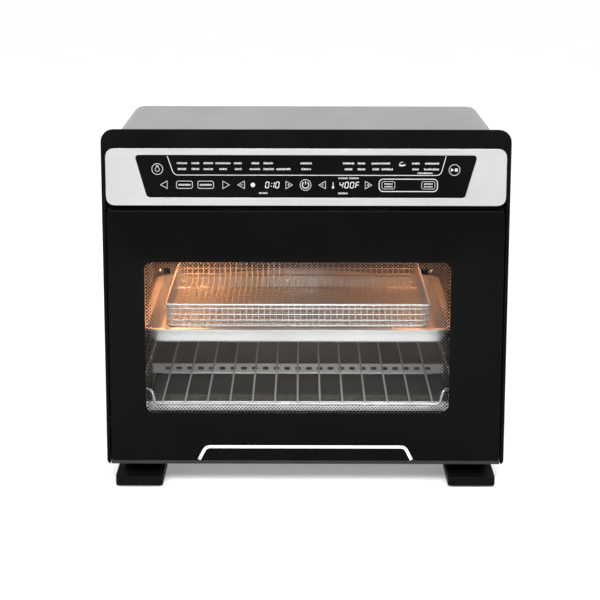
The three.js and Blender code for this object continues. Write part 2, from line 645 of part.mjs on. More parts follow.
function addDoorFrame() {
  const top = DOOR.high - 0.6;
  const shell = DOOR.back - DOOR.skin;
  const ledge = { depth: 15.5, wide: 9, narrow: 4 };
  const lip = rectangle(DOOR_LIP.front, DOOR.glass, BASE_Z, DOOR.low - GAP);
  const pocketOutline = rectangle(
    -DOOR.frameHalf + DOOR.skin, DOOR.frameHalf - DOOR.skin, HINGE.z - 4, top - DOOR.skin);
  const wall = ledge.wide + DOOR.skin;
  const wallHalf = WINDOW.halfWidth + wall;
  pocketOutline.holes.push(hole(WINDOW.centre - wallHalf, WINDOW.centre + wallHalf,
    WINDOW.low - wall, WINDOW.high + wall));
  add('door_frame',
    cut(joined(sideways(doorSection(top), -DOOR.frameHalf, DOOR.frameHalf),
      sideways(lip, -DOOR.half, DOOR.half)),
      facing(pocketOutline, 0, shell),
      windowBlock(ledge.wide, 0, ledge.depth), windowBlock(ledge.narrow, 10, 30),
      bar([-HALF, HINGE.depth, HINGE.z], [HALF, HINGE.depth, HINGE.z], HINGE.pin + GAP)),
    blackEnamel());

  const margin = ledge.wide - GAP;
  add('door_inner_glass', windowBlock(margin, 12, ledge.depth - GAP), clearGlass());
  add('door_glass_spacer',
    cut(windowBlock(margin, DOOR.glass + 0.8, 11.7), windowBlock(ledge.narrow, 0, 20)), zincSteel());
}

function addOuterGlass() {
  const bevel = 0.8;
  const outline = rectangle(
    -DOOR.half + bevel, DOOR.half - bevel, DOOR.low + bevel, DOOR.high - bevel, 2);
  const pane = new THREE.ExtrudeGeometry(outline, {
    depth: DOOR.glass - 2 * bevel, bevelEnabled: true, bevelSize: bevel, bevelThickness: bevel,
    bevelSegments: 1, curveSegments: 3 });
  pane.rotateX(Math.PI / 2).translate(0, depthY(DOOR.glass - bevel), 0);
  add('door_outer_glass', pane, clearGlass());
}

function addHinge(side, sign) {
  const { depth, z, eye, rise } = HINGE;
  const back = BEZEL_DEPTH - 1;
  const xs = [sign * (DOOR.frameHalf + 0.6), sign * (DOOR.frameHalf + 2.6)].sort((a, b) => a - b);
  const plate = new THREE.Shape();
  plate.absarc(depth, z, eye, Math.PI / 2, 3 * Math.PI / 2 + 0.3, false);
  plate.lineTo(back, z - 4);
  plate.lineTo(back, z + rise);
  plate.lineTo(CAVITY.front, z + rise);
  plate.lineTo(CAVITY.front - 3, z + eye);
  plate.closePath();
  plate.holes.push(roundHole(depth, z, HINGE.pin + GAP));
  add(`hinge_bracket_${side}`, sideways(plate, ...xs, 6), zincSteel());

  const pinInner = sign * (DOOR.frameHalf - 8);
  const pinOuter = sign * (DOOR.frameHalf + 3.4);
  add(`hinge_pin_${side}`, bar([pinInner, depth, z], [pinOuter, depth, z], HINGE.pin), brightSteel());
}

function addDoor() {
  addOuterGlass();
  addDoorFrame();
  addHinge('left', -1);
  addHinge('right', 1);
}

// ---- cookware ----

// The rack is a bent perimeter wire, whose sides stand up to ride on the rails, and a welded grid.
function addRack() {
  const x = (offset) => CAVITY.centre + offset;
  const low = RACK.z - RACK.slat - GAP - RACK.frame;
  const high = RACK.z + RACK.rise;
  const spacing = 2 * RACK.half / (RACK.wires - 1);
  const crossHalf = RACK.half - spacing + 9;
  const ends = [RACK.front + 2, RACK.back - 2];
  const across = (depth, z) => bar([x(-crossHalf), depth, z], [x(crossHalf), depth, z], RACK.frame, 6);
  const curl = (sign, end, inward) => [
    [x(sign * (crossHalf - 3)), end, low],
    [x(sign * (crossHalf + 3)), end, low],
    [x(sign * (crossHalf + 7.5)), end, low + 6],
    [x(sign * (crossHalf + 9)), end, high - 4],
    [x(sign * (RACK.half - 4.5)), end + inward, high],
    [x(sign * RACK.half), end + 6 * inward, high],
    [x(sign * RACK.half), end + 20 * inward, high],
  ];
  const runners = [-1, 1].map((sign) =>
    wire([...curl(sign, ends[0], 1), ...curl(sign, ends[1], -1).reverse()], RACK.frame, 34));
  add('rack_frame', joined(...ends.map((depth) => across(depth, low)), ...runners), brightSteel());

  const slats = spread(-RACK.half + spacing, RACK.half - spacing, RACK.wires - 2).map((offset) =>
    bar([x(offset), RACK.front, RACK.z], [x(offset), RACK.back, RACK.z], RACK.slat, 6));
  add('rack_grid', joined(...slats, across(RACK.cross, RACK.z - 2.2)), brightSteel());
}

function addCookware() {
  addRack();
  const spanX = (half) => ({ x0: CAVITY.centre - half, x1: CAVITY.centre + half });
  const rimReach = PAN.half - PAN.wallHalf;
  add('baking_pan', tray({
    ...spanX(PAN.wallHalf), d0: PAN.front + rimReach, d1: PAN.back - rimReach,
    low: PAN.low, rim: PAN.rim, wall: PAN.wall, slope: 8, flange: rimReach, corner: 12,
  }), brightSteel());

  const basket = tray({
    ...spanX(BASKET.half), d0: BASKET.front, d1: BASKET.back,
    low: BASKET.low, rim: BASKET.rim, wall: BASKET.wall, slope: 3, flange: 0.4, corner: 10,
  });
  const footLow = PAN.low + PAN.wall + GAP;
  const feet = [-120, 120].flatMap((offset) => [BASKET.front + 30, BASKET.back - 30].map((depth) => {
    const middle = CAVITY.centre + offset;
    return box(middle - 9, middle + 9, depth - 3, depth + 3, footLow, BASKET.low + 0.5);
  }));
  add('air_fry_basket', joined(basket, ...feet), brightSteel());

  add('crumb_tray', tray({
    ...spanX(TRAY.half), d0: TRAY.front, d1: TRAY.back,
    low: TRAY.low, rim: TRAY.high, wall: TRAY.wall, slope: 2, flange: 1.5, corner: 5,
  }), zincSteel());
}

addCasing();
addFeet();
addFront();
addCavity();
addHeating();
addFan();
addFittings();
addDoor();
addCookware();

export default oven;
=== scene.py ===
import math
import random

import bmesh
import bpy
from mathutils import Matrix, Vector


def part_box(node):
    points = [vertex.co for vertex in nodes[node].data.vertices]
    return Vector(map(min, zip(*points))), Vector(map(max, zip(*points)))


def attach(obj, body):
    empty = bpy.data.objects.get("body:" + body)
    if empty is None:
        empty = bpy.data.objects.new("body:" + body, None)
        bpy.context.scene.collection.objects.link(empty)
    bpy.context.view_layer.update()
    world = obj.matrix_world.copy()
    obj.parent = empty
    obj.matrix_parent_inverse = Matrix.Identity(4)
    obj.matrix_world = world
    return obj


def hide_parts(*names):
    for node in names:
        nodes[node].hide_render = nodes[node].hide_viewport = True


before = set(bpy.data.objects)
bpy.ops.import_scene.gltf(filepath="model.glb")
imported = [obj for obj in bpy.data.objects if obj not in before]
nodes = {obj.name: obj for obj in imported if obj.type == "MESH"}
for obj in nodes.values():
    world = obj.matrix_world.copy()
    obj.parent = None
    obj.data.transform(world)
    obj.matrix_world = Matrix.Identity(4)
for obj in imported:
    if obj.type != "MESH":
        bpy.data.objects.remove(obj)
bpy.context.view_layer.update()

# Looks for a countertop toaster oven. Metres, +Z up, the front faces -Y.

MM = 0.001
SEED = 7
WHITE = (1, 1, 1)
scene = bpy.context.scene


# ---- places taken from the frame ----

def low(node):
    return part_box(node)[0]


def high(node):
    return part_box(node)[1]


FRONT = low("door_outer_glass").y
WINDOW_CORNER = 9 * MM

# How far each node's sharp edges are taken off, in millimetres; PLAIN_EDGE where it isn't named.
PLAIN_EDGE = 0.25
EDGES = {
    "front_bezel": 0.7, "control_fascia": 0.35, "door_frame": 0.3,
    "outer_wrap": 0.2, "rear_cover": 0.2, "base_pan": 0.2, "front_element_guard": 0.2,
    "rear_element_guard": 0.2, "fan_cover": 0.2, "convection_blade": 0.15, "cooling_blade": 0.15,
}
for row in ("front", "rear"):
    for side in ("left", "right"):
        EDGES[f"foot_{row}_{side}"] = 0.9
        EDGES[f"foot_pad_{row}_{side}"] = 0.4


# ---- camera ----

def add_camera():
    lens = 112.02
    sensor = 36
    place = Vector((-4.4, -2201.5, 663.7)) * MM
    pitch_down = math.radians(12.62)
    yaw = math.radians(0.055)
    roll = math.radians(0.1)
    data = bpy.data.cameras.new("camera")
    data.lens = lens
    data.sensor_width = sensor
    camera = bpy.data.objects.new("camera", data)
    scene.collection.objects.link(camera)
    turn = (Matrix.Rotation(yaw, 4, "Z") @ Matrix.Rotation(math.pi / 2 - pitch_down, 4, "X")
            @ Matrix.Rotation(roll, 4, "Z"))
    camera.matrix_world = Matrix.Translation(place) @ turn
    scene.camera = camera


# ---- node materials ----

def blank(name):
    made = bpy.data.materials.new(name)
    made.use_nodes = True
    return made, made.node_tree, made.node_tree.nodes["Principled BSDF"]


def put(tree, kind, links=None, **settings):
    """Adds a shader node: settings are its own, links are its inputs, as sockets or values."""
    made = tree.nodes.new("ShaderNode" + kind)
    for key, value in settings.items():
        setattr(made, key, value)
    for key, value in (links or {}).items():
        if isinstance(value, bpy.types.NodeSocket):
            tree.links.new(value, made.inputs[key])
        else:
            made.inputs[key].default_value = value
    return made


def place_in(tree, scale):
    """Object coordinates stretched by a scale along each axis."""
    where = put(tree, "TexCoord")
    stretch = put(tree, "Mapping", {"Vector": where.outputs["Object"], "Scale": scale})
    return stretch.outputs["Vector"]


def noise(tree, scale, detail=3.0, spread=(1, 1, 1), roughness=0.5):
    links = {"Vector": place_in(tree, spread), "Scale": scale, "Detail": detail, "Roughness": roughness}
    return put(tree, "TexNoise", links).outputs["Fac"]


def ramp(tree, fac, stops):
    """Maps a factor onto colours: stops are (place, colour) pairs."""
    made = put(tree, "ValToRGB", {"Fac": fac})
    elements = made.color_ramp.elements
    while len(elements) < len(stops):
        elements.new(0.5)
    for element, (place, colour) in zip(elements, stops):
        element.position = place
        element.color = (*colour, 1) if len(colour) == 3 else colour
    return made.outputs["Color"]


def between(tree, fac, lowest, highest):
    """Maps a factor from its middle range onto a range of values."""
    links = {"Value": fac, "From Min": 0.3, "From Max": 0.7, "To Min": lowest, "To Max": highest}
    return put(tree, "MapRange", links).outputs["Result"]


def grey(value):
    return (value, value, value)


def bump(tree, shader, height, depth, strength=1.0):
    links = {"Height": height, "Distance": depth, "Strength": strength}
    tree.links.new(put(tree, "Bump", links).outputs["Normal"], shader.inputs["Normal"])


def colour_from(tree, shader, fac, stops):
    tree.links.new(ramp(tree, fac, stops), shader.inputs["Base Color"])


def roughness_from(tree, shader, fac, lowest, highest):
    tree.links.new(between(tree, fac, lowest, highest), shader.inputs["Roughness"])


def brushed(name, dark, light, grain, rough):
    """Brushed sheet: fine lines along one axis, with broad soft streaks."""
    made, tree, shader = blank(name)
    shader.inputs["Metallic"].default_value = 1
    fine = noise(tree, 1.0, 4, grain)
    broad = noise(tree, 9.0, 2, (1, 0.25, 0.5))
    colour_from(tree, shader, broad, [(0.3, dark), (0.7, light)])
    roughness_from(tree, shader, fine, *rough)
    bump(tree, shader, fine, 0.02 * MM, 0.5)
    return made


def moulded(name, dark, light, grain_mm=0.5, rough=(0.36, 0.46), depth=0.015, specular=0.35):
    """Moulded or coated black surface with a fine pebbled grain and a little handling wear."""
    made, tree, shader = blank(name)
    shader.inputs["Specular IOR Level"].default_value = specular
    grain = noise(tree, 1 / (grain_mm * MM), 2)
    wear = noise(tree, 22.0, 5)
    colour_from(tree, shader, wear, [(0.3, dark), (0.7, light)])
    roughness_from(tree, shader, wear, *rough)
    bump(tree, shader, grain, depth * MM, 0.6)
    return made


def steel(name, dark, light, rough=(0.16, 0.28), scale=40.0, depth=0.01, metallic=1.0):
    """Plain metal, rolled or drawn, with faint cloudy variation."""
    made, tree, shader = blank(name)
    shader.inputs["Metallic"].default_value = metallic
    cloud = noise(tree, scale, 4)
    colour_from(tree, shader, cloud, [(0.3, dark), (0.7, light)])
    roughness_from(tree, shader, cloud, *rough)
    bump(tree, shader, noise(tree, 900.0, 2), depth * MM, 0.4)
    return made


def satin_with_painted_shade(name, dark, light, painted_shade, behind=None):
    """Satin steel with painted shade: near black on its upward faces, and wherever it lies behind a given
    depth.
    """
    made, tree, shader = blank(name)
    shader.inputs["Metallic"].default_value = 0.05
    cloud = noise(tree, 30.0, 4)
    unshaded = ramp(tree, cloud, [(0.3, dark), (0.7, light)])
    facing = put(tree, "SeparateXYZ", {"Vector": put(tree, "NewGeometry").outputs["Normal"]})
    upward = put(tree, "MapRange", {"Value": facing.outputs["Z"], "From Min": 0.5, "From Max": 0.8})
    marked = upward.outputs["Result"]
    if behind is not None:
        place = put(tree, "SeparateXYZ", {"Vector": put(tree, "TexCoord").outputs["Object"]})
        limits = {"Value": place.outputs["Y"], "From Min": behind, "From Max": behind + 0.4 * MM}
        inner = put(tree, "MapRange", limits)
        both = put(tree, "Math", {0: marked, 1: inner.outputs["Result"]}, operation="MAXIMUM")
        marked = both.outputs["Value"]
    # Painted shade: upward faces, and faces behind the given depth, take the near-black colour.
    links = {0: marked, 6: unshaded, 7: (*painted_shade, 1)}
    mixed = put(tree, "Mix", links, data_type="RGBA")
    tree.links.new(mixed.outputs[2], shader.inputs["Base Color"])
    roughness_from(tree, shader, cloud, 0.42, 0.52)
    bump(tree, shader, noise(tree, 900.0, 2), 0.01 * MM, 0.4)
    return made


def galvanised(name):
    """Zinc-coated sheet: flat crystals of slightly different greys."""
    made, tree, shader = blank(name)
    shader.inputs["Metallic"].default_value = 1
    links = {"Vector": place_in(tree, (1, 1, 1)), "Scale": 110.0}
    crystals = put(tree, "TexVoronoi", links)
    value = put(tree, "SeparateColor", {"Color": crystals.outputs["Color"]}).outputs["Red"]
    colour_from(tree, shader, value, [(0.0, (0.22, 0.225, 0.23)), (1.0, (0.30, 0.305, 0.315))])
    roughness_from(tree, shader, value, 0.38, 0.5)
    bump(tree, shader, noise(tree, 600.0, 2), 0.01 * MM, 0.4)
    return made


def lining(name):
    """Coated cavity sheet: a dark warm metallic skin with fine speckle and a little baked-on tint."""
    made, tree, shader = blank(name)
    shader.inputs["Metallic"].default_value = 0.85
    tint = noise(tree, 14.0, 5)
    colour_from(tree, shader, tint, [(0.3, (0.17, 0.15, 0.135)), (0.7, (0.26, 0.23, 0.20))])
    speckle = noise(tree, 1400.0, 2)
    roughness_from(tree, shader, tint, 0.34, 0.46)
    bump(tree, shader, speckle, 0.03 * MM, 0.6)
    return made


def pane(name, tint, mirror=0.002, rough=0.02):
    """Thin flat glass: what is behind it shows straight through, under a weak reflection."""
    made, tree, shader = blank(name)
    tree.nodes.remove(shader)
    smear = noise(tree, 7.0, 3)
    cleaner = tuple(min(1, part * 1.01) for part in tint)
    colour = ramp(tree, smear, [(0.3, tint), (0.7, cleaner)])
    through = put(tree, "BsdfTransparent", {"Color": colour})
    gloss = put(tree, "BsdfGlossy", {"Roughness": rough})
    facing = put(tree, "LayerWeight", {"Blend": 0.12})
    share = put(tree, "MapRange", {"Value": facing.outputs["Fresnel"], "To Min": mirror, "To Max": 0.4})
    links = {0: share.outputs["Result"], 1: through.outputs[0], 2: gloss.outputs[0]}
    mixed = put(tree, "MixShader", links)
    tree.links.new(mixed.outputs[0], tree.nodes["Material Output"].inputs["Surface"])
    return made


def glowing(name, dark, light, glow, strength, scale=60.0):
    """A sheath that glows: emission under a mottled dark skin."""
    made, tree, shader = blank(name)
    mottle = noise(tree, scale, 4)
    colour_from(tree, shader, mottle, [(0.3, dark), (0.7, light)])
    shader.inputs["Roughness"].default_value = 0.6
    shader.inputs["Emission Strength"].default_value = strength
    dimmer = tuple(part * 0.7 for part in glow)
    tree.links.new(ramp(tree, mottle, [(0.2, dimmer), (0.8, glow)]), shader.inputs["Emission Color"])
    bump(tree, shader, noise(tree, 1500.0, 2), 0.03 * MM, 0.5)
    return made


def ceramic(name):
    made, tree, shader = blank(name)
    cloud = noise(tree, 60.0, 4)
    colour_from(tree, shader, cloud, [(0.3, (0.66, 0.62, 0.54)), (0.7, (0.80, 0.77, 0.70))])
    roughness_from(tree, shader, cloud, 0.55, 0.75)
    bump(tree, shader, noise(tree, 1200.0, 3), 0.04 * MM, 0.6)
    return made


def circuit(name):
    """Solder mask with copper tracks under it."""
    made, tree, shader = blank(name)
    tracks = put(tree, "TexBrick", {"Vector": place_in(tree, (40, 40, 40)), "Scale": 5.0,
                                    "Color1": (0.015, 0.10, 0.045, 1), "Color2": (0.02, 0.14, 0.06, 1),
                                    "Mortar": (0.05, 0.22, 0.10, 1)})
    tree.links.new(tracks.outputs["Color"], shader.inputs["Base Color"])
    shader.inputs["Roughness"].default_value = 0.35
    bump(tree, shader, tracks.outputs["Fac"], 0.05 * MM, 0.6)
    return made


def printed(name, colour, rough=0.5, specular=0.2):
    """Ink on glass, a touch uneven."""
    made, tree, shader = blank(name)
    shader.inputs["Specular IOR Level"].default_value = specular
    shade = tuple(part * 0.93 for part in colour)
    uneven = noise(tree, 700.0, 2)
    colour_from(tree, shader, uneven, [(0.35, shade), (0.65, colour)])
    roughness_from(tree, shader, uneven, rough - 0.05, rough + 0.05)
    return made


RED_HEAT = (1.0, 0.25, 0.04)
DISPLAY_WHITE = (0.92, 0.97, 1.0)
# Depth behind the front guard's front face past which its steel takes painted shade.
GUARD_LIT_DEPTH = 1.2 * MM

finishes = {
    "brushed_wrap": brushed("brushed_wrap", grey(0.235), grey(0.305), (12, 900, 3000), (0.30, 0.42)),
    "brushed_fascia": brushed("brushed_fascia", grey(0.37), grey(0.425), (10, 900, 3200), (0.30, 0.40)),
    "black_trim": moulded("black_trim", grey(0.0012), grey(0.0022), rough=(0.44, 0.54), specular=0.02),
    "foot_trim": moulded("foot_trim", grey(0.0022), grey(0.0034), rough=(0.44, 0.54), specular=0.03),
    "black_enamel": moulded("black_enamel", grey(0.006), grey(0.010), 0.8, (0.28, 0.36), 0.02, 0.25),
    "touch_lens": moulded("touch_lens", grey(0.0014), grey(0.0022), 3.0, (0.10, 0.16), 0.001, 0.03),
    "black_glass": moulded("black_glass", grey(0.0014), grey(0.002), 5.0, (0.06, 0.10), 0.001, 0.03),
    "clear_glass": pane("clear_glass", (0.98, 0.982, 0.98)),
    "zinc_sheet": galvanised("zinc_sheet"),
    "cavity_lining": lining("cavity_lining"),
    "bright_steel": steel("bright_steel", grey(0.55), grey(0.68)),
    "chrome_wire": steel("chrome_wire", grey(0.70), grey(0.82), (0.20, 0.30), metallic=0.6),
    "slat_wire": steel("slat_wire", grey(0.46), grey(0.55), (0.40, 0.50), depth=0.002, metallic=0.5),
    "basket_mesh": steel("basket_mesh", grey(0.42), grey(0.51), (0.38, 0.48), depth=0.003, metallic=0.4),
    # The guards' steel carries painted shade: near black on upward faces, and on the front guard behind its
    # front face.
    "guard_steel": satin_with_painted_shade("guard_steel", (0.86, 0.87, 0.89), (0.93, 0.94, 0.95), (0.035, 0.032, 0.03)),
    # front_guard_steel is a lighter copy of guard_steel: painted light on the front guard, which the front
    # light falls on, and painted shade on the rear guard.
    "front_guard_steel": satin_with_painted_shade("front_guard_steel", (0.93, 0.94, 0.96), (0.97, 0.98, 0.99),
                                     (0.06, 0.055, 0.05), low("front_element_guard").y + GUARD_LIT_DEPTH),
    "tray_steel": steel("tray_steel", (0.085, 0.08, 0.075), (0.14, 0.13, 0.12), (0.42, 0.52), 18.0),
    "pan_coat": steel("pan_coat", grey(0.45), grey(0.52), (0.28, 0.38), 16.0, metallic=0.7),
    "element_sheath": glowing("element_sheath", (0.06, 0.02, 0.01), (0.12, 0.05, 0.03), RED_HEAT, 1.2),
    "dim_sheath": glowing("dim_sheath", (0.04, 0.02, 0.015), (0.10, 0.05, 0.03), RED_HEAT, 0.10),
    "ceramic_white": ceramic("ceramic_white"),
    "soft_rubber": moulded("soft_rubber", grey(0.012), grey(0.02), 0.6, (0.7, 0.85), 0.03),
    "board_green": circuit("board_green"),
    "white_print": printed("white_print", grey(0.57)),
    "panel_print": printed("panel_print", grey(0.34)),
    "black_print": printed("black_print", grey(0.002), 0.5, 0.02),
    "glow_print": glowing("glow_print", grey(0.35), grey(0.45), DISPLAY_WHITE, 0.45, 900.0),
}

# Nodes whose look differs from the rest of their material slot.
SPECIAL = {
    "front_element_guard": "front_guard_steel", "rear_element_guard": "guard_steel",
    "lower_front_element": "dim_sheath", "lower_rear_element": "dim_sheath",
    "foot_front_left": "foot_trim", "foot_front_right": "foot_trim",
    "foot_rear_left": "foot_trim", "foot_rear_right": "foot_trim",
    "crumb_tray": "tray_steel",
}


def paint_nodes():
    for name, node in nodes.items():
        for index, old in enumerate(node.data.materials):
            node.data.materials[index] = finishes[SPECIAL.get(name, old.name)]


# ---- mesh helpers ----

def piece(name, made, finish, body="root", replaced=()):
    """Turns a bmesh into an object that rides on a body and stands for the CAD nodes it replaces."""
    bmesh.ops.recalc_face_normals(made, faces=made.faces)
    mesh = bpy.data.meshes.new(name)
    made.to_mesh(mesh)
    made.free()
    mesh.materials.append(finishes[finish])
    mesh.polygons.foreach_set("use_smooth", [True] * len(mesh.polygons))
    mesh.set_sharp_from_angle(angle=math.radians(35))
    thing = bpy.data.objects.new(name, mesh)
    scene.collection.objects.link(thing)
    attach(thing, body)
    if replaced:
        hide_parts(*replaced)
    return thing


def rounded(points, radius, steps=4):
    """A path whose corners are rounded, each by a short curve that starts a radius before it."""
    points = [Vector(point) for point in points]
    path = [points[0]]
    for before, corner, after in zip(points, points[1:], points[2:]):
        start = corner + (before - corner).normalized() * radius
        end = corner + (after - corner).normalized() * radius
        for step in range(steps + 1):
            t = step / steps
            path.append(start * (1 - t) ** 2 + corner * 2 * t * (1 - t) + end * t ** 2)
    path.append(points[-1])
    return path


def tube(made, points, radius, sides=8, closed=False):
    """A round wire through points, with flat ends."""
    points = [Vector(point) for point in points]
    count = len(points)
    rings = []
    normal = None
    for index, point in enumerate(points):
        after = points[(index + 1) % count] if closed or index < count - 1 else point
        before = points[index - 1] if closed or index else point
        along = (after - before).normalized()
        if normal is None:
            helper = Vector((0, 0, 1)) if abs(along.z) < 0.9 else Vector((1, 0, 0))
            normal = along.cross(helper).normalized()
        normal = (normal - along * normal.dot(along)).normalized()
        across = along.cross(normal)
        turn = [2 * math.pi * side / sides for side in range(sides)]
        rings.append([made.verts.new(point + (normal * math.cos(a) + across * math.sin(a)) * radius)
                      for a in turn])
    join_rings(made, rings, closed)


def join_rings(made, rings, closed=False):
    """Faces between rings of equal count, capped at both ends unless the row of rings closes on itself."""
    pairs = list(zip(rings, rings[1:]))
    if closed:
        pairs.append((rings[-1], rings[0]))
    for near, far in pairs:
        for side in range(len(near)):
            made.faces.new((near[side - 1], near[side], far[side], far[side - 1]))
    if not closed:
        made.faces.new(rings[0])
        made.faces.new(rings[-1])


def corner_ring(low_u, high_u, low_v, high_v, radius, steps=6):
    """A rounded rectangle as points, counterclockwise from its right side."""
    corners = [(high_u - radius, high_v - radius), (low_u + radius, high_v - radius),
               (low_u + radius, low_v + radius), (high_u - radius, low_v + radius)]
    ring = []
    for quarter, (u, v) in enumerate(corners):
        for step in range(steps + 1):
            angle = (quarter + step / steps) * math.pi / 2
            ring.append((u + radius * math.cos(angle), v + radius * math.sin(angle)))
    return ring


def upright_ring(made, ring, y):
    return [made.verts.new((u, y, v)) for u, v in ring]


def slab(made, outline, front, back):
    """A flat closed piece: an outline in x and z, between two planes."""
    join_rings(made, [upright_ring(made, outline, front), upright_ring(made, outline, back)])


def stroke(made, points, width, front, back, closed=False):
    """A flat line of even width drawn through points in x and z."""
    points = [Vector(point) for point in points]
    count = len(points)
    rings = []
    for index, point in enumerate(points):
        into = (point - points[index - 1]).normalized() if closed or index else None
        out = (points[(index + 1) % count] - point).normalized() if closed or index < count - 1 else None
        into = into or out
        out = out or into
        along = (into + out).normalized()
        reach = width / 2 / max(0.3, along.dot(into))
        side = Vector((-along.y, along.x)) * reach
        left, right = point + side, point - side
        rings.append([made.verts.new((u, y, v)) for (u, v), y in
                      ((left, front), (right, front), (right, back), (left, back))])
    join_rings(made, rings, closed)


def arc(u, v, radius, start, end, steps=16):
    """Points along an arc, from one angle in degrees to another."""
    angles = [math.radians(start + (end - start) * step / steps) for step in range(steps + 1)]
    return [(u + radius * math.cos(a), v + radius * math.sin(a)) for a in angles]


def circle(u, v, radius, steps=24):
    return arc(u, v, radius, 0, 360, steps)[:-1]


def spread(first, last, count):
    return [first + (last - first) * index / (count - 1) for index in range(count)]


# ---- CAD nodes that stay ----

def soften_nodes():
    """Welds each carried-over node's facets, takes its sharp edges off and shades its curves smooth."""
    for name, node in nodes.items():
        node.data.polygons.foreach_set("use_smooth", [True] * len(node.data.polygons))
        weld = node.modifiers.new("weld", "WELD")
        weld.merge_threshold = 0.01 * MM
        flat = node.modifiers.new("flat", "DECIMATE")
        flat.decimate_type = "DISSOLVE"
        flat.angle_limit = math.radians(0.5)
        edge = node.modifiers.new("edge", "BEVEL")
        edge.width = EDGES.get(name, PLAIN_EDGE) * MM
        edge.segments = 2
        edge.limit_method = "ANGLE"
        edge.angle_limit = math.radians(40)
        edge.use_clamp_overlap = True
        normals = node.modifiers.new("normals", "WEIGHTED_NORMAL")
        normals.weight = 100


# ---- door ----

def add_door_glass():
    """The black printed border with its polished edge, and the clear pane in the middle of it."""
    lo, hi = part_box("door_outer_glass")
    window = window_box()
    skin = 0.06 * MM
    bevel = 1.1 * MM
    corner = 3 * MM
    steps = 6
    border = bmesh.new()
    hole = corner_ring(*window, WINDOW_CORNER, steps)
    rings = [upright_ring(border, hole, lo.y + skin)]
    for inset, depth in [(bevel, skin), (0.3 * bevel, 0.3 * bevel), (0, bevel)]:
        ring = corner_ring(lo.x + inset, hi.x - inset, lo.z + inset, hi.z - inset, corner - inset, steps)
        rings.append(upright_ring(border, ring, lo.y + depth))
    back = corner_ring(lo.x, hi.x, lo.z, hi.z, corner, steps)
    rings.append(upright_ring(border, back, hi.y))
    rings.append(upright_ring(border, hole, hi.y))
    join_rings(border, rings, closed=True)
    piece("door_glass_border", border, "black_glass", "door", ["door_outer_glass"])

    pane_mesh = bmesh.new()
    gap = 0.02 * MM
    inset_hole = corner_ring(window[0] + gap, window[1] - gap, window[2] + gap, window[3] - gap,
                             WINDOW_CORNER, steps)
    slab(pane_mesh, inset_hole, lo.y + skin, hi.y)
    piece("door_glass_window", pane_mesh, "clear_glass", "door")


def window_box():
    """The clear window's left, right, bottom and top."""
    lo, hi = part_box("door_inner_glass")
    margin = 8.7 * MM
    return lo.x + margin, hi.x - margin, lo.z + margin, hi.z - margin


def add_frit():
    """Printed dots that fade from the black border into the clear window."""
    left, right, bottom, top = window_box()
    ink = 0.04 * MM
    near = high("door_outer_glass").y + 0.05 * MM
    half = 1.95 * MM
    fade = 12 * MM
    fade_power = 0.7
    upright_share = 0.9     # the fade is a little shorter from the top and bottom edges
    largest = 1.32 * MM
    smallest = 0.36 * MM
    made = bmesh.new()
    columns = int((right - left) / half)
    rows = int((top - bottom) / half)
    for column in range(columns + 1):
        for row in range(rows + 1):
            if (column + row) % 2:
                continue
            u = left + column * half
            v = bottom + row * half
            across = min(u - left, right - u)
            up = min(v - bottom, top - v)
            inset = min(across, upright_share * up)
            if max(across, up) < WINDOW_CORNER:
                inset = WINDOW_CORNER - math.hypot(WINDOW_CORNER - across, WINDOW_CORNER - up)
            radius = largest * (1 - inset / fade) ** fade_power if 0 < inset < fade else 0
            if radius > smallest:
                slab(made, circle(u, v, radius, 8), near, near + ink)
    piece("door_frit_dots", made, "black_print", "door")


def add_door_trim():
    """A white line on the glass that echoes the control lens, open at the bottom."""
    top_half = 111.5 * MM
    foot_half = 119 * MM
    top = 46 * MM
    foot = low("door_outer_glass").z + 0.8 * MM
    width = 3.4 * MM
    ink = 0.06 * MM
    made = bmesh.new()
    corners = [(-foot_half, foot), (-top_half, top), (top_half, top), (foot_half, foot)]
    stroke(made, rounded(corners, 5 * MM, 6), width, FRONT, FRONT + ink)
    piece("door_trim_line", made, "white_print", "door")


# ---- cookware ----

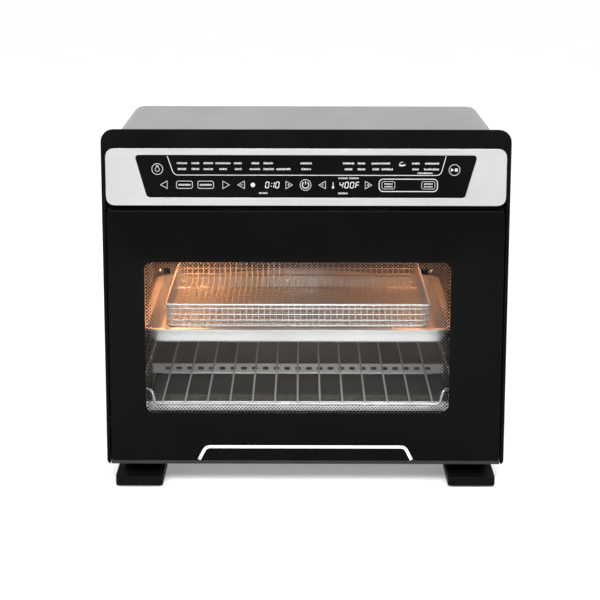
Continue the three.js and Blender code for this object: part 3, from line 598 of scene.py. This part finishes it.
def add_basket():
    """Welded mesh in the CAD basket's outline: U-shaped wires both ways, rows round the walls, a rim."""
    lo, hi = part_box("air_fry_basket")
    pitch = 6.84 * MM
    cross_pitch = 12 * MM
    wire = 0.70 * MM
    cross_wire = 0.42 * MM
    rim_wire = 1.35 * MM
    row_drops = (4.3 * MM, 11.1 * MM, 17.9 * MM, 24.0 * MM)
    slope = 1.6 * MM
    corner = 9 * MM
    rim_corner = 2.5 * MM
    wall_bend = 4.5 * MM
    corner_bend = 4 * MM
    sides = 6
    floor = lo.z + 11.4 * MM
    rim = hi.z - rim_wire
    x0, x1, y0, y1 = lo.x + rim_wire, hi.x - rim_wire, lo.y + rim_wire, hi.y - rim_wire
    made = bmesh.new()

    def bowl(start, end, fixed, along_x, z):
        """One wire down a wall, over the floor and up the other wall."""
        places = [(start, rim), (start + slope, z), (end - slope, z), (end, rim)]
        corners = [(a, fixed, b) if along_x else (fixed, a, b) for a, b in places]
        tube(made, rounded(corners, wall_bend, 3), cross_wire if along_x else wire, sides)

    across = round((x1 - x0 - 2 * corner) / pitch)
    for x in spread(x0 + corner, x1 - corner, across + 1):
        bowl(y0, y1, x, False, floor + 2 * wire)
    deep = round((y1 - y0 - 2 * corner) / cross_pitch)
    for y in spread(y0 + corner, y1 - corner, deep + 1):
        bowl(x0, x1, y, True, floor)

    def row_at(z):
        inset = slope * (rim - z) / (rim - floor) - 2 * wire
        ring = corner_ring(x0 + inset, x1 - inset, y0 + inset, y1 - inset, corner, 6)
        tube(made, [(u, v, z) for u, v in ring], wire, sides, closed=True)

    for drop in row_drops:
        row_at(rim - drop)

    for side_x, side_y in ((x0, y0), (x1, y0), (x1, y1), (x0, y1)):
        inward_x = 1 if side_x == x0 else -1
        inward_y = 1 if side_y == y0 else -1
        centre = Vector((side_x + inward_x * corner, side_y + inward_y * corner, 0))
        for angle in (30, 60):
            turn = math.radians(angle)
            out = Vector((-inward_x * math.cos(turn), -inward_y * math.sin(turn), 0))
            top = centre + out * corner
            foot = centre + out * (corner - slope) + Vector((0, 0, floor))
            corners = [top + Vector((0, 0, rim)), foot, centre + Vector((0, 0, floor))]
            tube(made, rounded(corners, corner_bend, 3), wire, sides)
    piece("basket_mesh", made, "basket_mesh", "basket", ["air_fry_basket"])

    rim_piece = bmesh.new()
    ring = corner_ring(x0, x1, y0, y1, rim_corner, 5)
    tube(rim_piece, [(u, v, rim) for u, v in ring], rim_wire, 10, closed=True)
    piece("basket_rim", rim_piece, "basket_mesh", "basket")

    feet = bmesh.new()
    foot_wire = 0.9 * MM
    foot_bend = 2.5 * MM
    ground = lo.z + foot_wire
    shoulder = floor - foot_wire
    reach = 9 * MM
    end = reach + 6 * MM
    inset_x, inset_y = 31 * MM, 30 * MM
    for x in (x0 + inset_x, x1 - inset_x):
        for y in (y0 + inset_y, y1 - inset_y):
            path = [(x - end, y, shoulder), (x - reach, y, shoulder), (x - reach, y, ground),
                    (x + reach, y, ground), (x + reach, y, shoulder), (x + end, y, shoulder)]
            tube(feet, rounded(path, foot_bend, 4), foot_wire, 8)
    piece("basket_feet", feet, "basket_mesh", "basket")


def add_pan():
    """A pressed tray with bowl-shaped walls, a rolled rim and a grip that rises at the back."""
    lo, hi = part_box("baking_pan")
    wall = 1.1 * MM
    flange = 8 * MM
    fold = 5.5 * MM
    round_side = 15 * MM
    round_front = 2.5 * MM
    draft = 0.9 * MM
    roll = 0.9 * MM
    bow = 7.5 * MM
    bow_half = 112 * MM
    height = hi.z - lo.z
    x0, x1, y0, y1 = lo.x + flange, hi.x - flange, lo.y + flange, hi.y - flange
    corner = 13 * MM
    steps = 8
    made = bmesh.new()

    def grip(u, v, z):
        """Bends the rear edge up into a long low bow."""
        middle = (x0 + x1) / 2
        share = max(0, 1 - ((u - middle) / bow_half) ** 2)
        behind = max(0, (v - y1 - fold) / (flange - fold))
        return z + bow * share * behind

    def ring(inset_x, inset_y, z):
        radius = max(corner - max(inset_x, inset_y), 2 * MM)
        points = corner_ring(x0 + inset_x, x1 - inset_x, y0 + inset_y, y1 - inset_y, radius, steps)
        return [made.verts.new((u, v, grip(u, v, z))) for u, v in refined(points, 60 * MM, 24)]

    def bowl(skin):
        """The wall from rim to floor: round at the sides, straighter with a small radius at the front."""
        places = []
        for step in range(13):
            angle = step / 12 * math.pi / 2
            z = hi.z - wall - (height - wall) * math.sin(angle) + skin
            sideways = round_side * (1 - math.cos(angle)) + skin
            straight = height - wall - round_front
            below = max(0, (height - wall) * math.sin(angle) - straight) / round_front
            forward = draft * math.sin(angle) + round_front * (1 - math.sqrt(1 - min(1, below) ** 2)) + skin
            places.append((sideways, forward, z))
        return places

    rolled_edge = ((roll, wall), (0, 1.6 * roll), (0.2 * roll, 0.4 * roll), (roll, 0))
    rings = [ring(*place) for place in reversed(bowl(0))]
    rings.append(ring(-fold, -fold, hi.z - wall))
    for inset, drop in rolled_edge:
        rings.append(ring(inset - flange, inset - flange, hi.z - drop))
    rings.append(ring(-fold, -fold, hi.z))
    rings += [ring(*place) for place in bowl(wall)]
    join_rings(made, rings)
    piece("pan_shell", made, "pan_coat", "pan", ["baking_pan"])


def refined(points, longest, parts):
    """Splits a ring's stretches over a given length into equal parts, so that they can bend."""
    result = []
    count = len(points)
    for index, (u, v) in enumerate(points):
        next_u, next_v = points[(index + 1) % count]
        result.append((u, v))
        if math.hypot(next_u - u, next_v - v) > longest:
            for part in range(1, parts):
                share = part / parts
                result.append((u + (next_u - u) * share, v + (next_v - v) * share))
    return result


def add_rack():
    """Wires from front to back over one cross wire, on a frame whose ends step up at each corner."""
    lo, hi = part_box("rack_grid")
    frame_lo, frame_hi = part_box("rack_frame")
    slat = 1.15 * MM
    slat_bend = 1.6 * MM
    cross_wire = 1.1 * MM
    frame_wire = 1.8 * MM
    frame_bend = 4 * MM
    side_gap = 9 * MM
    count = 13
    level = hi.z - 1.3 * MM
    under = level - 2.2 * MM
    made = bmesh.new()
    for x in spread(lo.x + side_gap, hi.x - side_gap, count):
        near, far = lo.y + slat, hi.y - slat
        path = [(x, near, under), (x, near, level), (x, far, level), (x, far, under)]
        tube(made, rounded(path, slat_bend, 3), slat, 8)
    cross = FRONT + 176 * MM
    tube(made, [(lo.x, cross, under), (hi.x, cross, under)], cross_wire, 10)
    piece("rack_wires", made, "slat_wire", "rack", ["rack_grid"])

    ends = [frame_lo.y + frame_wire, frame_hi.y - frame_wire]
    base = frame_lo.z + frame_wire
    top = frame_hi.z - frame_wire
    middle_x = (frame_lo.x + frame_hi.x) / 2
    side = (frame_hi.x - frame_lo.x) / 2 - frame_wire
    knee = side - 17 * MM
    shoulder = side - 13 * MM
    corner = 6 * MM
    outline = []
    for sign, (near, far) in ((1, ends), (-1, ends[::-1])):
        inward = corner if near < far else -corner
        outline += [(middle_x + sign * knee, near, base),
                    (middle_x + sign * shoulder, near, top),
                    (middle_x + sign * side, near + inward, top),
                    (middle_x + sign * side, far - inward, top),
                    (middle_x + sign * shoulder, far, top),
                    (middle_x + sign * knee, far, base)]
    start = (middle_x, ends[0], base)
    loop = rounded([start] + outline + [start], frame_bend, 4)
    frame_mesh = bmesh.new()
    tube(frame_mesh, loop[:-1], frame_wire, 10, closed=True)
    piece("rack_outline", frame_mesh, "chrome_wire", "rack", ["rack_frame"])


# ---- back wall ----

def add_wall_marks():
    """A patch of painted shade where each notch is and, outside it, a bright rivet at each end of the back
    wall.
    """
    lo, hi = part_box("cavity_back_wall")
    face = lo.y
    middle = (lo.x + hi.x) / 2
    level = 174 * MM
    half_width = 4.3 * MM
    half_height = 3.8 * MM
    notch_corner = 0.8 * MM
    notch_skin = 0.08 * MM
    dome = ((2.6, 0), (2.4, 0.5), (1.7, 1.0), (0.6, 1.25))     # radius and height, in millimetres
    notch_shade = bmesh.new()
    rivets = bmesh.new()
    for notch_x, rivet_x in ((-169.5, -178.5), (163, 172)):
        notch = middle + notch_x * MM
        rivet = middle + rivet_x * MM
        outline = corner_ring(notch - half_width, notch + half_width,
                              level - half_height, level + half_height, notch_corner, 3)
        # Painted shade: a thin black patch on the wall face stands for the shadow in the notch.
        slab(notch_shade, outline, face - notch_skin, face)
        rings = [upright_ring(rivets, circle(rivet, level, radius * MM, 16), face - height * MM)
                 for radius, height in dome]
        join_rings(rivets, rings)
    piece("wall_notch_shade", notch_shade, "black_trim")
    piece("wall_rivets", rivets, "bright_steel")


# ---- controls ----

def word(made, first, last, z, height, front, back, rng):
    """Stands for a printed word: a row of small uneven blocks that spell nothing."""
    block = 0.85 * MM
    gap = 0.5 * MM
    count = max(2, round((last - first + gap) / (block + gap)))
    width = (last - first + gap) / count - gap
    for index in range(count):
        left = first + index * (width + gap)
        tall = height * rng.uniform(0.8, 1.0)
        foot = z - height / 2
        slab(made, corner_ring(left, left + width, foot, foot + tall, 0.3 * MM, 2), front, back)


def triangle(made, u, v, pointing, front, back):
    """An outlined arrow key."""
    half = 3.6 * MM
    half_height = 1.15 * half
    line = 0.5 * MM
    tip = (u + pointing * half, v)
    path = [(u - pointing * half, v + half_height), tip, (u - pointing * half, v - half_height)]
    stroke(made, path, line, front, back, closed=True)


SEGMENTS = {"0": "abcdef", "1": "bc", "4": "bcfg", "F": "aefg"}
LEAN = 0.14


def digit(made, shape, u, v, front, back):
    """One seven-segment figure, leaning a little to the right."""
    half_width = 1.75 * MM
    half_height = 3.2 * MM
    thick = 0.62 * MM
    ends = {
        "a": ((-1, 1), (1, 1)), "b": ((1, 1), (1, 0)), "c": ((1, 0), (1, -1)), "d": ((-1, -1), (1, -1)),
        "e": ((-1, 0), (-1, -1)), "f": ((-1, 1), (-1, 0)), "g": ((-1, 0), (1, 0)),
    }

    def corner(x, y):
        return Vector((u + x * half_width + LEAN * y * half_height, v + y * half_height))

    for segment in SEGMENTS[shape]:
        start, end = (corner(*place) for place in ends[segment])
        trim = (end - start).normalized() * thick * 0.55
        stroke(made, [start + trim, end - trim], thick, front, back)


PRINT_LINE = 0.55 * MM
KEY_ROW = 342.6


def add_controls():
    """The lens's printed words, keys and figures. Places are in millimetres."""
    back = low("control_lens").y
    front = back - 0.05 * MM
    row = KEY_ROW * MM
    rng = random.Random(SEED)
    prints = bmesh.new()
    add_words(prints, front, back, rng)
    add_arrow_keys(prints, row, front, back)
    add_box_keys(prints, row, front, back, rng)
    add_round_keys(prints, row, front, back)
    add_small_signs(prints, row, front, back)
    piece("control_prints", prints, "panel_print")
    add_figures(row, front, back)


def add_words(made, front, back, rng):
    """The line under the function words, the two rows of words and the small ones by the figures."""
    edge = [(-150.4, 374.2), (-143.4, 353.3), (146.0, 353.3), (151.6, 374.2)]
    edge_line = 0.75 * MM
    edge_bend = 5 * MM
    stroke(made, rounded([(u * MM, v * MM) for u, v in edge], edge_bend, 5), edge_line, front, back)

    tall, small = 2.3 * MM, 2.0 * MM
    upper = [(-140, -129), (-124, -116), (-111, -101), (-98, -82), (-78, -70), (-59, -51), (-46, -36),
             (-6, 6), (40, 52), (56, 64), (71, 91), (115, 123), (129, 144)]
    lower = [(-139, -130), (-124, -116), (-111, -101), (-94, -86), (-77, -70), (-61, -50), (-46, -35),
             (-32, -17), (-5, 5), (42, 50), (56, 64), (72, 79), (82, 94), (115, 122), (128, 144)]
    for words, z in ((upper, 366.4), (lower, 360.0)):
        for first, last in words:
            word(made, first * MM, last * MM, z * MM, tall, front, back, rng)
    by_figures = [(121, 137, 355.8), (-51, -42, 333.8), (35, 45, 333.6), (35, 45, 350.2), (47, 57, 350.2)]
    for first, last, z in by_figures:
        word(made, first * MM, last * MM, z * MM, small, front, back, rng)


def add_arrow_keys(made, row, front, back):
    """Arrow keys, of which four carry a minus or a plus."""
    half = 1.2 * MM
    for u, pointing in ((-154.4, -1), (-86.8, 1), (-70.5, -1), (-18.3, 1), (17.6, -1), (67.9, 1)):
        triangle(made, u * MM, row, pointing, front, back)
    minuses, pluses = (-70.0, 18.1), (-18.8, 67.4)
    for u in minuses + pluses:
        stroke(made, [(u * MM - half, row), (u * MM + half, row)], PRINT_LINE, front, back)
    for u in pluses:
        stroke(made, [(u * MM, row - half), (u * MM, row + half)], PRINT_LINE, front - 0.01 * MM, back)


def add_box_keys(made, row, front, back, rng):
    """Two framed words at the left, and two in a wide frame at the right."""
    half = 4 * MM
    for first, last in ((-140.7, -123.4), (-117.5, -100.4)):
        ring = corner_ring(first * MM, last * MM, row - half, row + half, 2 * MM, 4)
        stroke(made, ring, PRINT_LINE, front, back, closed=True)
        word(made, (first + 2.2) * MM, (last - 2.2) * MM, row, 2.2 * MM, front, back, rng)
    wide = corner_ring(79.4 * MM, 142.8 * MM, 335.6 * MM, 349.2 * MM, 4.5 * MM, 5)
    stroke(made, wide, 0.9 * MM, front, back, closed=True)
    for first, last in ((82.5, 96.5), (125.5, 140)):
        ring = corner_ring(first * MM, last * MM, row - 4.2 * MM, row + half, 2.2 * MM, 4)
        stroke(made, ring, 0.45 * MM, front, back, closed=True)
        for z in (1.4, -1.6):
            word(made, (first + 2.6) * MM, (last - 2.6) * MM, row + z * MM, 1.8 * MM, front, back, rng)


def add_figures(row, front, back):
    """The lit digits, the colon between two of them and the round light beside them."""
    places = [("0", -42.1), ("1", -36.4), ("0", -31.1), ("4", 38.3), ("0", 44.1), ("0", 49.9), ("F", 55.8)]
    figures = bmesh.new()
    for shape, u in places:
        digit(figures, shape, u * MM, row, front, back)
    colon = -37.4
    for z in (-1.4, 1.6):
        slab(figures, circle((colon + z * LEAN) * MM, row + z * MM, 0.42 * MM, 10), front, back)
    slab(figures, circle(-57.7 * MM, row, 2.3 * MM, 20), front, back)
    piece("control_figures", figures, "glow_print")


def add_round_keys(made, row, front, back):
    """The lamp, start and power keys."""
    radius = 5.9 * MM
    lamp = Vector((-161.3, 359.8)) * MM
    start = Vector((160.9, 359.3)) * MM
    power = Vector((-0.5 * MM, row))
    for centre in (lamp, start, power):
        stroke(made, circle(*centre, radius, 32), PRINT_LINE, front, back, closed=True)

    bulb = arc(lamp.x, lamp.y - 0.4 * MM, 2.3 * MM, -230, 50, 16)
    neck = [(lamp.x + 1.1 * MM, lamp.y + 2.6 * MM), (lamp.x - 1.1 * MM, lamp.y + 2.6 * MM)]
    stroke(made, bulb + neck, 0.5 * MM, front, back, closed=True)
    stroke(made, [(lamp.x - 1.2 * MM, lamp.y + 3.6 * MM), (lamp.x + 1.2 * MM, lamp.y + 3.6 * MM)],
           0.6 * MM, front, back)

    slab(made, [(start.x - 3.8 * MM, start.y + 2 * MM), (start.x - 3.8 * MM, start.y - 2 * MM),
                (start.x - 0.6 * MM, start.y)], front, back)
    slab(made, corner_ring(start.x + 0.4 * MM, start.x + 3.6 * MM, start.y - 1.7 * MM, start.y + 1.7 * MM,
                           0.5 * MM, 3), front, back)

    stroke(made, arc(power.x, power.y, 3.5 * MM, 125, 415, 24), 0.9 * MM, front, back)
    stroke(made, [(power.x, power.y + 0.6 * MM), (power.x, power.y + 4.3 * MM)], 0.9 * MM, front, back)


def add_small_signs(made, row, front, back):
    """The thermometer beside the temperature, and the small probe among the words."""
    stem = 29.4 * MM
    stroke(made, [(stem, row - 1.2 * MM), (stem, row + 3.2 * MM)], 0.8 * MM, front, back)
    slab(made, circle(stem, row - 2.6 * MM, 1.3 * MM, 12), front, back)
    stroke(made, [(101 * MM, 364.4 * MM), (104 * MM, 364.0 * MM), (107.6 * MM, 364.8 * MM)],
           1.6 * MM, front, back)
    stroke(made, arc(104 * MM, 365.2 * MM, 2.6 * MM, 60, 180, 8), 0.7 * MM, front, back)


# ---- studio ----

def add_floor():
    radius = 40
    mesh = bpy.data.meshes.new("floor")
    made = bmesh.new()
    bmesh.ops.create_circle(made, cap_ends=True, segments=96, radius=radius)
    made.to_mesh(mesh)
    made.free()
    floor = bpy.data.objects.new("floor", mesh)
    scene.collection.objects.link(floor)
    paper, tree, shader = blank("floor_paper")
    fibres = noise(tree, 3.0, 3)
    colour_from(tree, shader, fibres, [(0.3, grey(0.74)), (0.7, grey(0.76))])
    glow = ramp(tree, fibres, [(0.3, grey(0.98)), (0.7, grey(1.0))])
    tree.links.new(glow, shader.inputs["Emission Color"])
    shader.inputs["Emission Strength"].default_value = 0.235
    shader.inputs["Roughness"].default_value = 0.9
    shader.inputs["Specular IOR Level"].default_value = 0.0
    mesh.materials.append(paper)


def hang_light(data, place, aim, watts, colour):
    """Puts a light in the scene, turned to what it lights and hidden from the camera."""
    data.energy = watts
    data.color = colour
    light = bpy.data.objects.new(data.name, data)
    light.location = place
    light.rotation_euler = (Vector(aim) - Vector(place)).to_track_quat("-Z", "Y").to_euler()
    light.visible_camera = False
    scene.collection.objects.link(light)


def add_soft_light(name, place, aim, size, watts, colour=WHITE):
    data = bpy.data.lights.new(name, "AREA")
    data.shape = "RECTANGLE"
    data.size, data.size_y = size
    hang_light(data, place, aim, watts, colour)


def add_spot(name, place, aim, cone, watts, colour=WHITE):
    data = bpy.data.lights.new(name, "SPOT")
    data.spot_size = math.radians(cone)
    data.spot_blend = 0.8
    data.shadow_soft_size = 10 * MM
    hang_light(data, place, aim, watts, colour)


def add_studio():
    scene.view_settings.view_transform = "Standard"
    scene.world = scene.world or bpy.data.worlds.new("studio")
    scene.world.use_nodes = True
    sky = scene.world.node_tree.nodes["Background"]
    sky.inputs["Color"].default_value = (*WHITE, 1)
    sky.inputs["Strength"].default_value = 1.0
    add_floor()
    middle = (0, 0, 0.2)
    # Name, place, aim, size and watts.
    add_soft_light("overhead", (0, -0.3, 2.6), middle, (2.4, 2.4), 22)
    add_soft_light("left_box", (-2.4, -1.4, 1.5), middle, (1.4, 1.8), 10)
    add_soft_light("right_box", (2.4, -1.4, 1.5), middle, (1.4, 1.8), 5)
    add_soft_light("window_fill", (0, -1.35, 1.0), (0, -0.1, 0.14), (1.3, 0.5), 34)
    add_window_portal()


def add_window_portal():
    """Tells the renderer that daylight reaches the cavity through the window."""
    left, right, bottom, top = window_box()
    data = bpy.data.lights.new("window_portal", "AREA")
    data.shape = "RECTANGLE"
    data.size, data.size_y = right - left, top - bottom
    data.cycles.is_portal = True
    portal = bpy.data.objects.new("window_portal", data)
    inside = FRONT + 22 * MM
    portal.location = ((left + right) / 2, inside, (bottom + top) / 2)
    portal.rotation_euler = (math.pi / 2, 0, math.pi)
    scene.collection.objects.link(portal)


def add_oven_light():
    """The warm lamp and the glow that fills the cavity."""
    lamp_colour = (1.0, 0.66, 0.36)
    ember = (1.0, 0.41, 0.16)
    deep_ember = (1.0, 0.40, 0.17)
    daylight = (1.0, 0.96, 0.92)
    wall_left = low("cavity_left_wall").x
    wall_right = high("cavity_right_wall").x
    ceiling_low, ceiling_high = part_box("cavity_ceiling")
    ceiling = ceiling_low.z
    middle_x = (wall_left + wall_right) / 2
    middle_y = (ceiling_low.y + ceiling_high.y) / 2

    lamp_low, lamp_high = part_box("lamp_cover")
    lamp = (lamp_low + lamp_high) / 2
    lamp_aim = (wall_left, lamp.y + 38 * MM, lamp.z - 26 * MM)
    add_spot("oven_lamp", (lamp_low.x - 3 * MM, lamp.y, lamp.z), lamp_aim, 36, 3, lamp_colour)
    add_soft_light("element_glow", (middle_x, middle_y, ceiling - 24 * MM), (middle_x, middle_y, 0),
                   (0.30, 0.24), 0.035, deep_ember)

    pan_low, pan_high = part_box("baking_pan")
    rear_y = lamp.y + 20 * MM
    glows = (("left_glow", wall_left + 36 * MM, 0.40), ("right_glow", wall_right - 40 * MM, 0.18))
    for name, x, watts in glows:
        add_soft_light(name, (x, rear_y, ceiling - 22 * MM), (x, rear_y - 10 * MM, pan_low.z),
                       (0.05, 0.05), watts, ember)
    add_soft_light("lower_fill", (middle_x, pan_low.y + 90 * MM, pan_low.z - 8 * MM),
                   (middle_x, pan_high.y, 60 * MM), (0.28, 0.03), 0.10, daylight)


def add_grip_light():
    """Daylight that reaches in over the basket to the pan's rear grip."""
    lo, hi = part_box("baking_pan")
    middle = (lo.x + hi.x) / 2
    place = (middle, lo.y + 10 * MM, 236 * MM)
    add_spot("grip_light", place, (middle, hi.y, hi.z + 5 * MM), 20, 0.5)


add_camera()
paint_nodes()
soften_nodes()
add_door_glass()
add_frit()
add_door_trim()
add_basket()
add_pan()
add_rack()
add_wall_marks()
add_controls()
add_studio()
add_oven_light()
add_grip_light()
